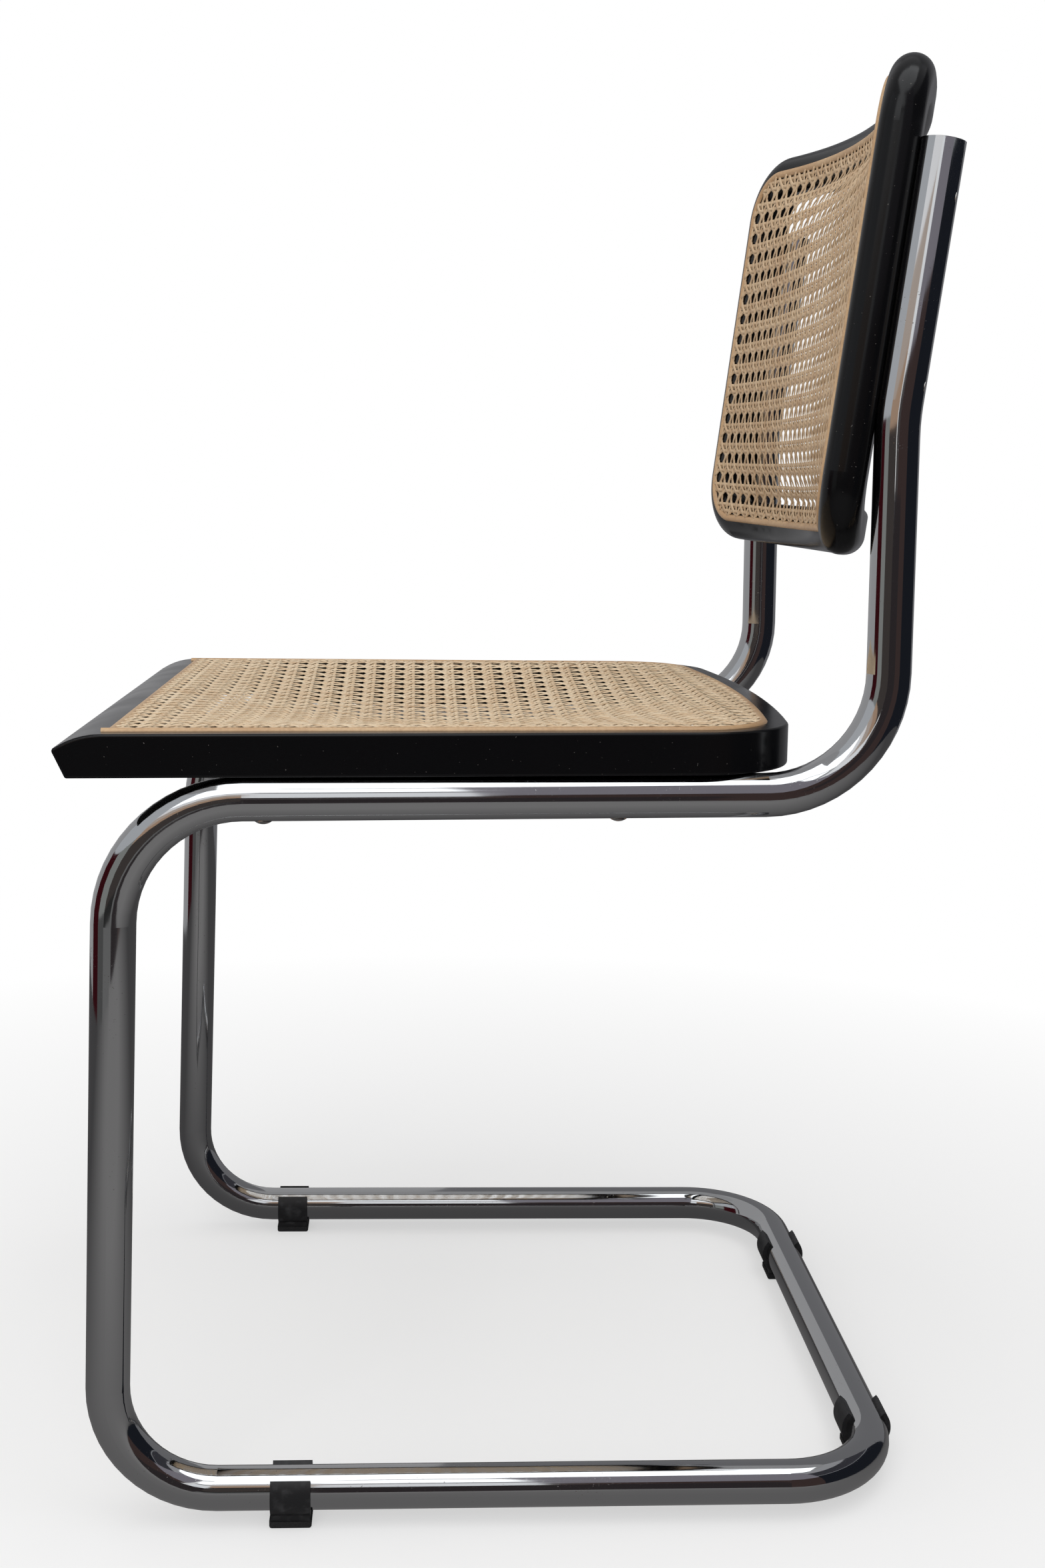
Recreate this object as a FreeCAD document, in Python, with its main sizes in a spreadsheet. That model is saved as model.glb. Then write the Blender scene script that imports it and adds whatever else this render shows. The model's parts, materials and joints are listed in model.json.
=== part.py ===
"""Cantilever chair: one bent steel tube carries a cane seat and a bowed cane back.

Millimetres. +Z is up, the sitter faces -Y, and right is +X, as seen from in front of the
chair. The origin is on the floor, at the middle of the chair's outer box.
"""
import FreeCAD, Part
import math
import os

import Sketcher
from FreeCAD import Placement, Rotation, Vector

SIZES = [
    # alias, value, meaning
    ("tube_diameter", 25, "outside of the steel tube"),
    ("tube_wall", 2, "wall of the steel tube"),
    ("leg_plane_y", -229.13, "front legs at floor level"),
    ("runner_half_width", 214, "centre plane to the axis of a floor runner"),
    ("upright_half_width", 196, "centre plane to the axis of a back upright"),
    ("runner_height", 20, "axis of the floor tubes above the floor"),
    ("base_length", 459, "leg axis to the axis of the rear floor tube"),
    ("leg_rake", 10, "how far a leg leans back on its way up"),
    ("knee_height", 423.5, "axis of the seat rail at its front corner"),
    ("hip_height", 428.5, "axis of the seat rail at its rear corner"),
    ("hip_run", 438, "leg foot to the rear corner of the seat rail"),
    ("kink_run", 434, "leg foot to the bend below the back"),
    ("kink_height", 636.5, "height of the bend below the back"),
    ("lean", 6.5, "backward lean of the upper uprights, degrees"),
    ("upright_top", 783, "open end of the upright above the floor"),
    ("floor_bend", 62, "bend radius, leg to runner"),
    ("rear_bend", 62, "bend radius, runner to rear floor tube"),
    ("knee_bend", 71, "bend radius, leg to seat rail"),
    ("hip_bend", 68, "bend radius, seat rail to upright"),
    ("kink_bend", 140, "bend radius below the back"),
    ("plug_rim", 0.5, "straight edge of a tube plug's head"),
    ("plug_dome", 2.2, "height of a tube plug's domed head"),
    ("plug_depth", 14, "length of a plug inside the tube"),
    ("clip_wall", 3, "wall of a glide clip"),
    ("clip_length", 23, "glide clip along the tube"),
    ("clip_lip", 42, "end of the clip's arms above the horizontal, degrees"),
    ("clip_foot", 20, "width of the clip's flat foot"),
    ("felt_thickness", 4.5, "felt foot"),
    ("felt_overhang", 0.7, "felt past the clip's foot, all round"),
    ("felt_round", 1.6, "softened corners and lower edges of a felt"),
    ("glide_front_right", 106, "front right glide from the leg foot"),
    ("glide_front_left", 80, "front left glide from the leg foot"),
    ("glide_rear_right", 142, "rear right glide from the centre plane"),
    ("glide_rear_left", 121, "rear left glide from the centre plane"),
    ("seat_thickness", 24, "seat frame"),
    ("seat_front_half", 222, "half the seat's width at its nose"),
    ("seat_rear_half", 208, "half the seat's width at its rear, before the corner"),
    ("seat_nose", -31.8, "front of the nose from the rail's front corner"),
    ("seat_rear", 388, "middle of the rear edge from the rail's front corner"),
    ("seat_crown_radius", 1440, "curve of the rear edge in plan"),
    ("seat_corner_radius", 60, "rear corners in plan"),
    ("rim_width", 32, "wood of the seat rim in plan"),
    ("front_rail_rear", 14, "rear face of the front rail from the rail's front corner"),
    ("nose_run", 25.8, "length of the nose's sloping top"),
    ("brow_setback", 1.6, "where the nose's top meets its tip, behind the tip"),
    ("brow_height", 16.9, "the same, above the underside"),
    ("tip_radius", 2.1, "tip of the nose"),
    ("lip_setback", 0.4, "where the tip meets the undercut, behind the tip"),
    ("lip_height", 13.5, "the same, above the underside"),
    ("undercut", 6.6, "how far the nose is cut back at its underside"),
    ("edge_radius", 1.6, "softened edges of the seat frame"),
    ("front_spline_y", -2, "middle of the front spline from the rail's front corner"),
    ("spline_inset", 12, "seat frame's edge to the spline"),
    ("spline_width", 5, "reed spline"),
    ("spline_depth", 6, "groove of the spline"),
    ("spline_crown", 1.8, "spline above the wood"),
    ("spline_overrun", 3, "side splines past the front spline"),
    ("spline_gap", 0.5, "gap where the ends of the back's spline meet"),
    ("cane_thickness", 1.2, "woven cane"),
    ("opening_pitch", 43.5, "openings in the cane, one for every three holes of the weave"),
    ("opening_width", 26.6, "eight-sided opening across its flats, as open in all as the weave"),
    ("seat_opening_columns", 8, "openings across the seat"),
    ("seat_opening_rows", 8, "openings from the front of the seat to its rear"),
    ("back_opening_columns", 8, "openings across the back"),
    ("back_opening_rows", 5, "openings up the back"),
    ("dowel_diameter", 8, "dowels"),
    ("seat_dowel_length", 40, "dowels of the seat frame"),
    ("seat_dowel_height", 10.5, "dowels of the seat frame above its underside"),
    ("seat_dowel_inset", 9.5, "outer dowel from the seat frame's side"),
    ("seat_dowel_spacing", 13, "outer dowel to inner dowel"),
    ("back_thickness", 24, "back frame from front to rear"),
    ("back_width", 28, "back frame, outer edge to inner edge"),
    ("back_half_height", 123.8, "middle of the back to the axis of a rail"),
    ("back_centre_height", 699.3, "middle of the back above the floor"),
    ("back_bow_angle", 18.5, "half the angle of the bowed rails, degrees"),
    ("back_corner_radius", 31, "corner of the back frame on its axis"),
    ("inner_round", 5, "inner edges of the back frame"),
    ("saddle_depth", 1, "hollow in a stile where the upright lies"),
    ("back_dowel_length", 36, "dowels of the back frame"),
    ("back_dowel_setback", 2, "dowels of the back frame behind its axis"),
    ("seat_screw_front", 79.7, "front seat screw from the rail's front corner"),
    ("seat_screw_rear", 275.9, "rear seat screw from the rail's front corner"),
    ("back_screw_high", 58, "upper back screw above the middle of the back"),
    ("back_screw_low", -42, "lower back screw from the middle of the back"),
    ("screw_diameter", 5, "wood screw's shank"),
    ("screw_head_diameter", 10, "pan head"),
    ("seat_head_rim", 1, "straight edge of a seat screw's head"),
    ("seat_head_height", 2.8, "seat screw's head"),
    ("back_head_rim", 0.4, "straight edge of a back screw's head"),
    ("back_head_height", 1, "back screw's head, level with the tube"),
    ("screw_seat", 1.1, "spot face of a screw in the tube"),
    ("screw_point", 5, "tapered end of a screw"),
    ("screw_bite", 15, "screw's length in the wood"),
]

doc = FreeCAD.newDocument("cantilever_chair")
sheet = doc.addObject("Spreadsheet::Sheet", "sizes")
for row, (alias, number, meaning) in enumerate(SIZES, start=1):
    sheet.set("A%d" % row, str(number))
    sheet.setAlias("A%d" % row, alias)
    sheet.set("B%d" % row, meaning)
doc.recompute()

X_AXIS = Vector(1, 0, 0)
Y_AXIS = Vector(0, 1, 0)
Z_AXIS = Vector(0, 0, 1)
SIDES = (("right", 1), ("left", -1))
OVERSHOOT = 1  # how far a cutter passes the face that it cuts
MARGIN = 20  # how far an oversized blank reaches past the piece

sub_parts = []


def size(alias):
    """A driving dimension as a number."""
    return float(sheet.get(alias))


def value(expression):
    """What an expression in the sheet's aliases comes to."""
    return float(sheet.evalExpression(expression))


def measure(item, name, amount):
    """Gives an object a size: an expression in the sheet's aliases, or a length worked out here."""
    if isinstance(amount, str):
        item.setExpression(name, amount)
    else:
        setattr(item, name, amount)


def keep(piece):
    """Lists a finished sub-part."""
    sub_parts.append(piece)
    return piece


def facing(origin, x_direction, y_direction):
    """Placement whose own X and Y axes point along the two directions."""
    x_direction = Vector(x_direction).normalize()
    y_direction = Vector(y_direction).normalize()
    return Placement(origin, Rotation(x_direction, y_direction, x_direction.cross(y_direction), "XYZ"))


# Outlines

def draw_outline(sketch, corners, arcs):
    """Closed outline through corners given as pairs of expressions.

    arcs gives the radius, as an expression, of each stretch that isn't straight, by the number
    of the corner where it starts. A radius that starts with a minus sign bulges inwards.
    """
    spots = [Vector(value(x), value(y), 0) for x, y in corners]
    ends = []
    for index, start in enumerate(spots):
        finish = spots[(index + 1) % len(spots)]
        if index not in arcs:
            sketch.addGeometry(Part.LineSegment(start, finish))
            ends.append((1, 2))
            continue
        inward = arcs[index].startswith("-")
        radius = value(arcs[index].lstrip("-"))
        if inward:
            start, finish = finish, start
        chord = finish - start
        rise = math.sqrt(max(radius ** 2 - chord.Length ** 2 / 4, 0))
        centre = (start + finish) / 2 + Vector(-chord.y, chord.x, 0).normalize() * rise
        first = math.atan2(start.y - centre.y, start.x - centre.x)
        last = math.atan2(finish.y - centre.y, finish.x - centre.x)
        if last < first:
            last += 2 * math.pi
        sketch.addGeometry(Part.ArcOfCircle(Part.Circle(centre, Z_AXIS, radius), first, last))
        ends.append((2, 1) if inward else (1, 2))
    for index in range(len(spots)):
        following = (index + 1) % len(spots)
        sketch.addConstraint(Sketcher.Constraint(
            "Coincident", index, ends[index][1], following, ends[following][0]))
    for index, (x, y) in enumerate(corners):
        for kind, expression in (("DistanceX", x), ("DistanceY", y)):
            number = sketch.addConstraint(Sketcher.Constraint(
                kind, -1, 1, index, ends[index][0], value(expression)))
            sketch.setExpression("Constraints[%d]" % number, expression)
    for index, radius in arcs.items():
        expression = radius.lstrip("-")
        number = sketch.addConstraint(Sketcher.Constraint("Radius", index, value(expression)))
        sketch.setExpression("Constraints[%d]" % number, expression)


def body_sketch(body, plane, corners, arcs):
    """Outline on one of the body's own origin planes."""
    sketch = body.newObject("Sketcher::SketchObject", body.Name + "_outline")
    support = [item for item in body.Origin.OriginFeatures if item.Role == plane][0]
    sketch.AttachmentSupport = [(support, "")]
    sketch.MapMode = "FlatFace"
    draw_outline(sketch, corners, arcs)
    return sketch


def padded_body(name, plane, corners, arcs, length, frame):
    """Body of one section, padded by the same length to both sides of its plane."""
    body = doc.addObject("PartDesign::Body", name)
    pad = body.newObject("PartDesign::Pad", name + "_pad")
    pad.Profile = body_sketch(body, plane, corners, arcs)
    pad.SideType = "Symmetric"
    pad.setExpression("Length", length)
    body.Placement = frame
    return body


def turned_body(name, corners, arcs, frame):
    """Body turned about its own Z axis from an outline of radii and heights."""
    body = doc.addObject("PartDesign::Body", name)
    sketch = body_sketch(body, "XZ_Plane", corners, arcs)
    turned = body.newObject("PartDesign::Revolution", name + "_turned")
    turned.Profile = sketch
    turned.ReferenceAxis = (sketch, ["V_Axis"])
    turned.Angle = 360
    body.Placement = frame
    return body


# Solids made from shapes

def shape_feature(name, shape):
    """Feature that holds a construction shape, such as a path or a face."""
    feature = doc.addObject("Part::Feature", name)
    feature.Shape = shape
    return feature


def extrusion(name, base, direction, length, frame):
    """Solid that a face or sketch makes along a direction, both in the frame's own axes."""
    solid = doc.addObject("Part::Extrusion", name)
    solid.Base = base
    solid.DirMode = "Custom"
    solid.Dir = direction
    solid.Solid = True
    measure(solid, "LengthFwd", length)
    solid.Placement = frame
    return solid


def revolution(name, source, centre, axis, angle, frame):
    """Solid that a sketch makes round an axis, both in the frame's own axes."""
    solid = doc.addObject("Part::Revolution", name)
    solid.Source = source
    solid.Base = centre
    solid.Axis = axis
    solid.Solid = True
    solid.setExpression("Angle", angle)
    solid.Placement = frame
    return solid


def cylinder(name, diameter, length, frame):
    """Cylinder along the frame's Z axis, centred on the frame's origin."""
    solid = doc.addObject("Part::Cylinder", name)
    solid.setExpression("Radius", diameter + " / 2")
    solid.setExpression("Height", length)
    solid.Placement = frame * Placement(Z_AXIS * (-value(length) / 2), Rotation())
    return solid


def compound(name, members):
    """Several equal pieces under one name."""
    group = doc.addObject("Part::Compound", name)
    group.Links = members
    return group


def fused(name, members):
    """One solid out of stretches that meet face to face."""
    solid = doc.addObject("Part::MultiFuse", name)
    solid.Shapes = members
    solid.Refine = False
    return solid


def cut(name, base, *tools):
    """The base less each tool in turn."""
    for number, tool in enumerate(tools, start=1):
        last = number == len(tools)
        result = doc.addObject("Part::Cut", name if last else "%s_cut_%d" % (name, number))
        result.Base = base
        result.Tool = tool
        base = result
    return result


def common(name, base, tool):
    """What the base and the tool share."""
    result = doc.addObject("Part::Common", name)
    result.Base = base
    result.Tool = tool
    return result


# The bent tube

def bent_wire(points, radii):
    """Straight runs through the points, joined by tangent arcs of the radii."""
    edges = []
    start = points[0]
    for before, corner, after, radius in zip(points, points[1:], points[2:], radii):
        arriving = (before - corner).normalize()
        leaving = (after - corner).normalize()
        half_turn = (math.pi - arriving.getAngle(leaving)) / 2
        reach = radius * math.tan(half_turn)
        inwards = (arriving + leaving).normalize()
        entry = corner + arriving * reach
        middle = corner + inwards * radius * (1 / math.cos(half_turn) - 1)
        leave = corner + leaving * reach
        edges.append(Part.LineSegment(start, entry).toShape())
        edges.append(Part.Arc(entry, middle, leave).toShape())
        start = leave
    edges.append(Part.LineSegment(start, points[-1]).toShape())
    return Part.Wire(edges)


def upright_axis_y(height):
    """Where the leaning part of an upright's axis is at a height above the floor."""
    climb = height - size("kink_height")
    return size("leg_plane_y") + size("kink_run") + climb * math.tan(math.radians(size("lean")))


def half_route(side):
    """Corners of the tube's axis from the open end of one upright to the rear of its runner."""
    upper = side * size("upright_half_width")
    lower = side * size("runner_half_width")
    foot = size("leg_plane_y")
    return [
        Vector(upper, upright_axis_y(size("upright_top")), size("upright_top")),
        Vector(upper, foot + size("kink_run"), size("kink_height")),
        Vector(upper, foot + size("hip_run"), size("hip_height")),
        Vector(lower, foot + size("leg_rake"), size("knee_height")),
        Vector(lower, foot, size("runner_height")),
        Vector(lower, foot + size("base_length"), size("runner_height")),
    ]


def tube_sweep(name, path, start, direction, radius):
    """Solid round bar along the tube's path."""
    ring = doc.addObject("Part::Circle", name + "_ring")
    ring.setExpression("Radius", radius)
    ring.Placement = Placement(start, Rotation(Z_AXIS, direction))
    bar = doc.addObject("Part::Sweep", name)
    bar.Sections = [ring]
    bar.Spine = (path, [])
    bar.Solid = True
    bar.Frenet = False
    return bar


route = half_route(1) + half_route(-1)[::-1]
side_bends = [size(bend) for bend in ("kink_bend", "hip_bend", "knee_bend", "floor_bend", "rear_bend")]
tube_path = shape_feature("tube_path", bent_wire(route, side_bends + side_bends[::-1]))
tube_heading = route[1] - route[0]
tube_outside = tube_sweep("tube_outside", tube_path, route[0], tube_heading, "sizes.tube_diameter / 2")
tube_bore = tube_sweep(
    "tube_bore", tube_path, route[0], tube_heading, "sizes.tube_diameter / 2 - sizes.tube_wall")


# Plugs in the open ends of the tube

def tube_plug(name, side):
    """Domed head as wide as the tube, on a barrel that fills the bore."""
    end, next_corner = half_route(side)[:2]
    head = "sizes.tube_diameter / 2"
    barrel = "sizes.tube_diameter / 2 - sizes.tube_wall"
    rise = "(sizes.plug_dome - sizes.plug_rim)"
    corners = [
        ("0", "-sizes.plug_depth"),
        (barrel, "-sizes.plug_depth"),
        (barrel, "0"),
        (head, "0"),
        (head, "sizes.plug_rim"),
        ("0", "sizes.plug_dome"),
    ]
    dome = "((%s) ^ 2 + %s ^ 2) / (2 * %s)" % (head, rise, rise)
    upwards = Rotation(Z_AXIS, end - next_corner)
    return keep(turned_body(name, corners, {4: dome}, Placement(end, upwards)))


plugs = {side: tube_plug("tube_plug_" + side_name, side) for side_name, side in SIDES}


# Glides under the floor tubes

def glide(place_name, x, y, turn):
    """Plastic clip that is open at the top, and its felt foot. turn is the tube's heading."""
    centre = Vector(x, size("leg_plane_y") + y, size("runner_height"))
    frame = Placement(centre, Rotation(Z_AXIS, turn))
    inner = "sizes.tube_diameter / 2"
    outer = "(sizes.tube_diameter / 2 + sizes.clip_wall)"
    lip_x = " * cos(sizes.clip_lip * 1deg)"
    lip_y = " * sin(sizes.clip_lip * 1deg)"
    half_foot = "sizes.clip_foot / 2"
    shoulder = "-sqrt(%s ^ 2 - (%s) ^ 2)" % (outer, half_foot)
    corners = [
        (inner + lip_x, inner + lip_y),
        ("0", "-" + inner),
        ("-" + inner + lip_x, inner + lip_y),
        ("-" + outer + lip_x, outer + lip_y),
        ("-" + half_foot, shoulder),
        ("-" + half_foot, "-" + outer),
        (half_foot, "-" + outer),
        (half_foot, shoulder),
        (outer + lip_x, outer + lip_y),
    ]
    arcs = {0: "-" + inner, 1: "-" + inner, 3: outer, 7: outer}
    keep(padded_body("glide_clip_" + place_name, "XZ_Plane", corners, arcs, "sizes.clip_length", frame))

    half_felt = "(sizes.clip_foot / 2 + sizes.felt_overhang)"
    top = "-" + outer
    corners = [
        ("-" + half_felt, top + " - sizes.felt_thickness"),
        (half_felt, top + " - sizes.felt_thickness"),
        (half_felt, top),
        ("-" + half_felt, top),
    ]
    length = "sizes.clip_length + 2 * sizes.felt_overhang"
    felt = padded_body("glide_felt_" + place_name, "XZ_Plane", corners, {}, length, frame)
    pad = felt.Tip
    doc.recompute()
    top_height = pad.Shape.BoundBox.ZMax
    soft = felt.newObject("PartDesign::Fillet", "glide_felt_%s_soft" % place_name)
    soft.Base = (pad, ["Edge%d" % number for number, edge in enumerate(pad.Shape.Edges, start=1)
                       if edge.CenterOfMass.z < top_height - OVERSHOOT])
    soft.setExpression("Radius", "sizes.felt_round")
    keep(felt)


for side_name, side in SIDES:
    glide("front_" + side_name, side * size("runner_half_width"), size("glide_front_" + side_name), 0)
    glide("rear_" + side_name, side * size("glide_rear_" + side_name), size("base_length"), 90)


# The seat, in a frame of its own. Its underside is the plane z = 0, which rests on both seat
# rails, and y = 0 is above the front corners of the rails.

rail_run = size("hip_run") - size("leg_rake")
rail_climb = size("hip_height") - size("knee_height")
seat_tilt = Rotation(X_AXIS, math.degrees(math.atan2(rail_climb, rail_run)))
rail_corner = Vector(0, size("leg_plane_y") + size("leg_rake"), size("knee_height"))
seat_frame = Placement(rail_corner + seat_tilt.multVec(Z_AXIS) * size("tube_diameter") / 2, seat_tilt)


side_front = Vector(size("seat_front_half"), size("seat_nose"), 0)
side_heading = (Vector(size("seat_rear_half"), size("seat_rear"), 0) - side_front).normalize()
side_inwards = Vector(-side_heading.y, side_heading.x, 0)
crown_centre = Vector(0, size("seat_rear") - size("seat_crown_radius"), 0)


def corner_centre():
    """Centre of the right corner, which touches the side and the rear from within."""
    start = side_front + side_inwards * size("seat_corner_radius") - crown_centre
    reach = size("seat_crown_radius") - size("seat_corner_radius")
    along = start.dot(side_heading)
    run = -along + math.sqrt(along ** 2 - start.dot(start) + reach ** 2)
    return crown_centre + start + side_heading * run


def side_point(inset, y):
    """Point of the right side, moved inwards by the inset, at y."""
    start = side_front + side_inwards * inset
    return start + side_heading * ((y - start.y) / side_heading.y)


def corner_points(inset):
    """Start, middle and end of the right corner, moved inwards by the inset."""
    centre = corner_centre()
    to_side = side_inwards * -1
    to_rear = (centre - crown_centre).normalize()
    to_middle = (to_side + to_rear).normalize()
    radius = size("seat_corner_radius") - inset
    return [centre + direction * radius for direction in (to_side, to_middle, to_rear)]


def mirrored(point):
    """The point on the other side of the centre plane."""
    return Vector(-point.x, point.y, point.z)


def seat_curve(inset, front_y, z):
    """Right side, rear and left side of the seat's plan at a height, from front to front."""
    lift = Vector(0, 0, z)
    start = side_point(inset, front_y)
    corner = corner_points(inset)
    rear_middle = Vector(0, size("seat_rear") - inset, 0)
    right = [Part.LineSegment(start, corner[0]), Part.Arc(*corner)]
    rear = [Part.Arc(corner[2], rear_middle, mirrored(corner[2]))]
    left = [
        Part.Arc(*[mirrored(point) for point in corner[::-1]]),
        Part.LineSegment(mirrored(corner[0]), mirrored(start)),
    ]
    wire = Part.Wire([curve.toShape() for curve in right + rear + left])
    wire.translate(lift)
    return wire


def seat_face(inset, front_y, z):
    """Face within the seat's plan, straight across at its front."""
    curve = seat_curve(inset, front_y, z)
    start = side_point(inset, front_y) + Vector(0, 0, z)
    front = Part.LineSegment(mirrored(start), start).toShape()
    return Part.Face(Part.Wire(curve.Edges + [front]))


def seat_section():
    """The seat's side view, with its undercut nose, as wide as the blank and wider."""
    top = "sizes.seat_thickness"
    drop = "(sizes.seat_thickness - sizes.brow_height)"
    slope = "(sizes.nose_run - sizes.brow_setback)"
    corners = [
        ("sizes.seat_nose + sizes.nose_run", top),
        ("sizes.seat_nose + sizes.brow_setback", "sizes.brow_height"),
        ("sizes.seat_nose + sizes.lip_setback", "sizes.lip_height"),
        ("sizes.seat_nose + sizes.undercut", "0"),
        ("sizes.seat_rear + %d" % MARGIN, "0"),
        ("sizes.seat_rear + %d" % MARGIN, top),
    ]
    sloping_top = "(%s ^ 2 + %s ^ 2) / (2 * %s)" % (slope, drop, drop)
    arcs = {0: sloping_top, 1: "sizes.tip_radius"}
    width = "2 * (sizes.seat_front_half + %d)" % MARGIN
    return padded_body("seat_section", "YZ_Plane", corners, arcs, width, seat_frame)


def softened(name, base):
    """The blank with every edge rounded."""
    doc.recompute()
    rounded = doc.addObject("Part::Fillet", name)
    rounded.Base = base
    radius = size("edge_radius")
    sharp = []
    for number, edge in enumerate(base.Shape.Edges, start=1):
        if is_sharp(base.Shape, edge):
            sharp.append((number, radius, radius))
    rounded.Edges = sharp
    return rounded


def is_sharp(shape, edge):
    """Whether the two faces at an edge meet at a clear angle."""
    faces = shape.ancestorsOfType(edge, Part.Face)
    spot = edge.valueAt((edge.FirstParameter + edge.LastParameter) / 2)
    normals = [face.normalAt(*face.Surface.parameter(spot)) for face in faces]
    return normals[0].getAngle(normals[1]) > math.radians(15)


def block(name, x_range, y_range, z_range, frame):
    """Box between three pairs of coordinates in a frame."""
    box = doc.addObject("Part::Box", name)
    for side, (low, high) in (("Length", x_range), ("Width", y_range), ("Height", z_range)):
        measure(box, side, high - low)
    box.Placement = frame * Placement(Vector(x_range[0], y_range[0], z_range[0]), Rotation())
    return box


ROUND_END = "(sizes.back_width - sizes.back_thickness) / 2"  # where the back frame's round edge ends
SPLINE_CROWN_RADIUS = "(sizes.spline_width ^ 2 / 4 + sizes.spline_crown ^ 2) / (2 * sizes.spline_crown)"


def seat_spline_section(name, frame):
    """Reed spline's section: square in its groove, with a crown above the wood."""
    sketch = doc.addObject("Sketcher::SketchObject", name)
    half = "sizes.spline_width / 2"
    corners = [
        ("-" + half, "sizes.seat_thickness - sizes.spline_depth"),
        (half, "sizes.seat_thickness - sizes.spline_depth"),
        (half, "sizes.seat_thickness"),
        ("-" + half, "sizes.seat_thickness"),
    ]
    draw_outline(sketch, corners, {2: SPLINE_CROWN_RADIUS})
    sketch.Placement = frame
    return sketch


spline_front_y = size("front_spline_y") - size("spline_width") / 2
side_spline_front = spline_front_y - size("spline_overrun")
cane_front = spline_front_y + size("spline_width")
spline_middle = size("spline_inset") + size("spline_width") / 2
spline_inner = size("spline_inset") + size("spline_width")


def seat_splines():
    """Straight front spline, and the spline that goes round both sides and the rear."""
    start = side_point(spline_middle, side_spline_front)
    section = seat_spline_section(
        "seat_spline_rim_section", facing(start, side_inwards, Z_AXIS))
    path = shape_feature("seat_spline_path", seat_curve(spline_middle, side_spline_front, 0))
    rim = doc.addObject("Part::Sweep", "seat_spline_rim")
    rim.Sections = [section]
    rim.Spine = (path, [])
    rim.Solid = True
    rim.Frenet = False
    rim.Placement = seat_frame

    middle = Vector(0, size("front_spline_y"), 0)
    across = side_point(spline_middle, size("front_spline_y")).x
    section = seat_spline_section(
        "seat_spline_front_section", facing(middle - X_AXIS * across, Y_AXIS, Z_AXIS))
    bar = extrusion("seat_spline_front_bar", section, X_AXIS, 2 * across, seat_frame)
    return keep(rim), keep(cut("seat_spline_front", bar, rim))


def openings(columns, rows):
    """Eight-sided faces in a grid about the origin, and the place of each."""
    reach = size("opening_width") / 2 / math.cos(math.pi / 8)
    turns = [math.radians(22.5 + 45 * number) for number in range(9)]
    wire = Part.makePolygon([Vector(reach * math.cos(turn), reach * math.sin(turn), 0) for turn in turns])
    for column in range(columns):
        for row in range(rows):
            across = (column - (columns - 1) / 2) * size("opening_pitch")
            along = (row - (rows - 1) / 2) * size("opening_pitch")
            yield Part.Face(wire), across, along


def seat_cane():
    """Cane on the seat frame, inside the splines, as an open net."""
    plan = seat_face(spline_inner, cane_front, size("seat_thickness"))
    middle = (cane_front + size("seat_rear") - spline_inner) / 2
    holes = []
    for face, x, y in openings(int(size("seat_opening_columns")), int(size("seat_opening_rows"))):
        face.translate(Vector(x, middle + y, size("seat_thickness")))
        holes.append(face)
    net = shape_feature("seat_cane_plan", plan.cut(Part.makeCompound(holes)))
    return keep(extrusion("seat_cane", net, Z_AXIS, "sizes.cane_thickness", seat_frame))


def screw(name, kind, frame, length):
    """Wood screw with a pan head. It is driven along the frame's Z axis from its head's seat."""
    head = "sizes.screw_head_diameter / 2"
    shank = "sizes.screw_diameter / 2"
    rim = "sizes.%s_head_rim" % kind
    height = "sizes.%s_head_height" % kind
    rise = "(%s - %s)" % (height, rim)
    corners = [
        ("0", "-" + height),
        (head, "-" + rim),
        (head, "0"),
        (shank, "0"),
        (shank, length + " - sizes.screw_point"),
        ("0", length),
    ]
    crown = "((%s) ^ 2 + %s ^ 2) / (2 * %s)" % (head, rise, rise)
    return turned_body(name, corners, {0: crown}, frame)


SCREW_LENGTH = "sizes.tube_diameter - sizes.screw_seat + sizes.screw_bite"


def seat_screws():
    """Four screws up through the seat rails."""
    screws = []
    for side_name, side in SIDES:
        for place_name in ("front", "rear"):
            y = size("seat_screw_" + place_name)
            narrowing = size("runner_half_width") - size("upright_half_width")
            x = side * (size("runner_half_width") - narrowing * y / rail_run)
            seat = Vector(x, y, size("screw_seat") - size("tube_diameter"))
            frame = seat_frame * Placement(seat, Rotation())
            name = "seat_screw_%s_%s" % (place_name, side_name)
            screws.append(screw(name, "seat", frame, SCREW_LENGTH))
    return keep(compound("seat_screws", screws))


def seat_dowels():
    """Two dowels on each side, along Y, half in the front rail and half in the rim."""
    dowels = []
    for side_name, side in SIDES:
        for number in (1, 2):
            inset = size("seat_dowel_inset") + (number - 1) * size("seat_dowel_spacing")
            spot = side_point(inset, size("front_rail_rear"))
            centre = Vector(side * spot.x, spot.y, size("seat_dowel_height"))
            frame = seat_frame * Placement(centre, Rotation(Z_AXIS, Y_AXIS))
            name = "seat_dowel_%s_%d" % (side_name, number)
            dowels.append(cylinder(name, "sizes.dowel_diameter", "sizes.seat_dowel_length", frame))
    return keep(compound("seat_dowels", dowels))


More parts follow.
